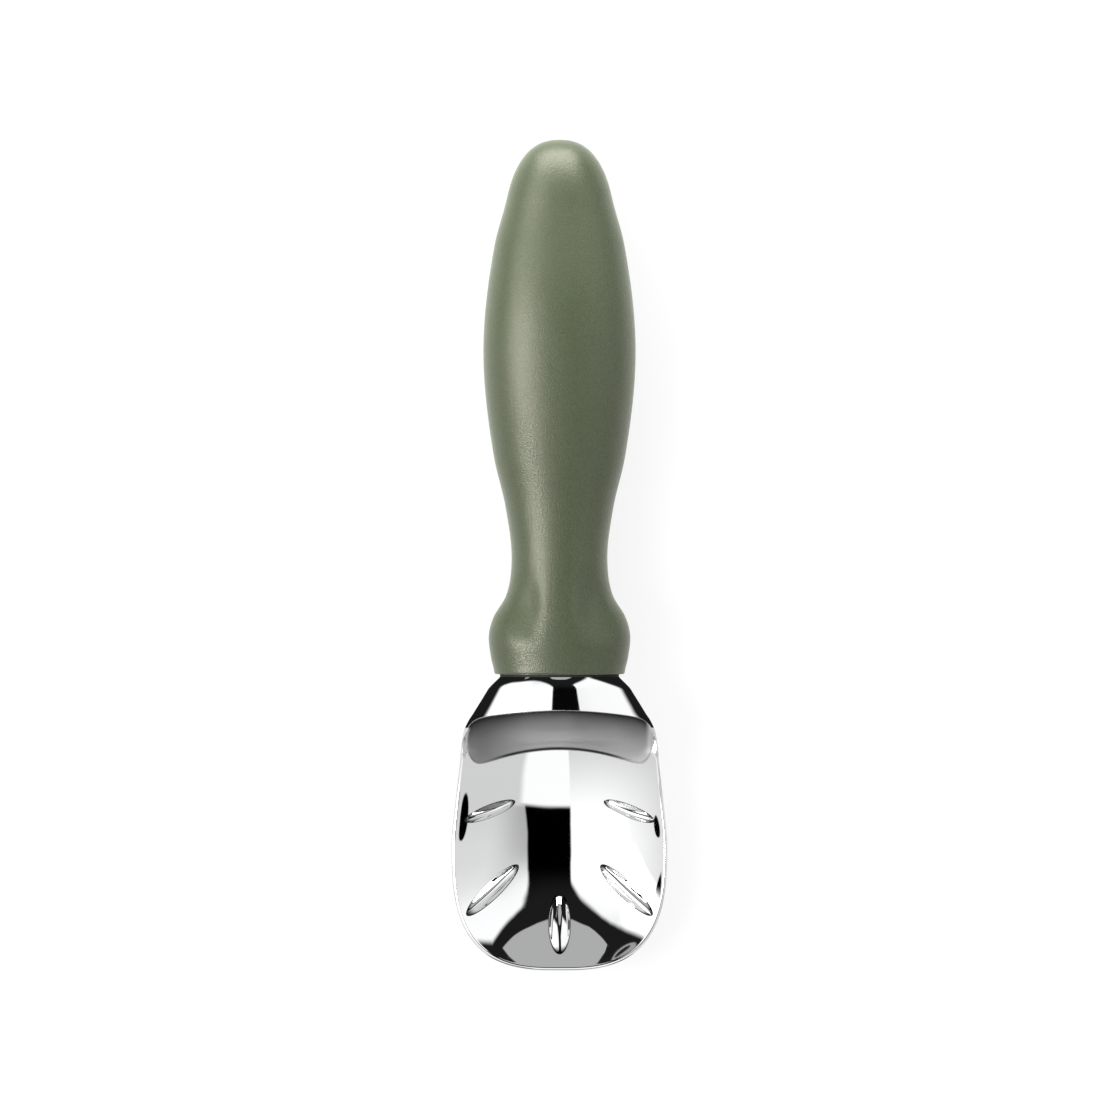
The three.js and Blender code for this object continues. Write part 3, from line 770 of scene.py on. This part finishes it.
def studio_floor():
    """White table top that keeps a soft part of the scoop's shadow."""
    signs = ((-1, -1), (1, -1), (1, 1), (-1, 1))
    corners = np.array([(x * TABLE_HALF, y * TABLE_HALF, -TABLE_DROP) for x, y in signs])
    mesh = bpy.data.meshes.new("table_top")
    mesh.from_pydata((corners * MM).tolist(), [], [(0, 1, 2, 3)])
    floor = bpy.data.objects.new("table_top", mesh)
    bpy.context.scene.collection.objects.link(floor)
    material = bpy.data.materials.new("white_table")
    tree = Tree(material)
    path = [tree.add("ShaderNodeLightPath", output=name) for name in
            ("Is Camera Ray", "Is Glossy Ray", "Is Transmission Ray")]
    direct = path[0].math("MAXIMUM", path[0], path[1].math("MAXIMUM", path[1], path[2]))
    white = tree.add("ShaderNodeEmission", None, {"Color": (1, 1, 1, 1), "Strength": 1.0})
    matte = tree.add("ShaderNodeBsdfDiffuse", None, {"Color": (0.92, 0.92, 0.92, 1)})
    shader = tree.add("ShaderNodeMixShader", None, {0: direct * TABLE_WHITE, 1: matte, 2: white})
    tree.add("ShaderNodeOutputMaterial", None, {"Surface": shader})
    floor.data.materials.append(material)


def overhead_camera():
    """Long lens straight above the scoop, framed by the photograph's pixels."""
    data = bpy.data.cameras.new("overhead")
    data.sensor_fit = "HORIZONTAL"
    data.sensor_width = 36.0
    data.lens = data.sensor_width * (CAMERA_HEIGHT - AXIS_HEIGHT) / (IMAGE_SIDE * PIXEL)
    data.clip_start, data.clip_end = 0.1, 20.0
    camera = bpy.data.objects.new("overhead", data)
    middle = IMAGE_SIDE / 2
    offset = ((middle - MIDDLE_PIXEL[0]) * PIXEL, (MIDDLE_PIXEL[1] - middle) * PIXEL)
    camera.location = (offset[0] * MM, offset[1] * MM, CAMERA_HEIGHT * MM)
    bpy.context.scene.collection.objects.link(camera)
    bpy.context.scene.camera = camera


def dress(piece, material, slot, *nodes):
    """New piece on the scoop's body, with a material, that stands for the CAD nodes named."""
    piece.data.materials.append(material)
    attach(piece, "root")
    if nodes:
        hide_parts(*nodes)


def finish_node(name, material):
    """Better material on a CAD node that stays."""
    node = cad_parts[name]
    node.data.materials.clear()
    node.data.materials.append(material)


bpy.context.scene.view_settings.view_transform = "Standard"
overhead_camera()
studio_world()
butt_lamp()
studio_floor()

chrome = surface("chrome_plating", chrome_plating)
dress(scoop_bowl(), chrome, "head_chrome", "scoop_head")
for number, rib in enumerate(RIBS, 1):
    dress(release_rib(number, *rib), chrome, "head_chrome")
dress(head_tang(), chrome, "head_chrome")
dress(grip_skin(), surface("sage_grain", sage_grain), "grip_green", "grip_skin")

finish_node("neck_seal", surface("black_rubber", black_rubber))
nylon = surface("filled_nylon", filled_nylon)
finish_node("handle_core", nylon)
finish_node("core_end_cap", nylon)
steel = surface("ground_steel", ground_steel)
finish_node("tang_pin_front", steel)
finish_node("tang_pin_rear", steel)
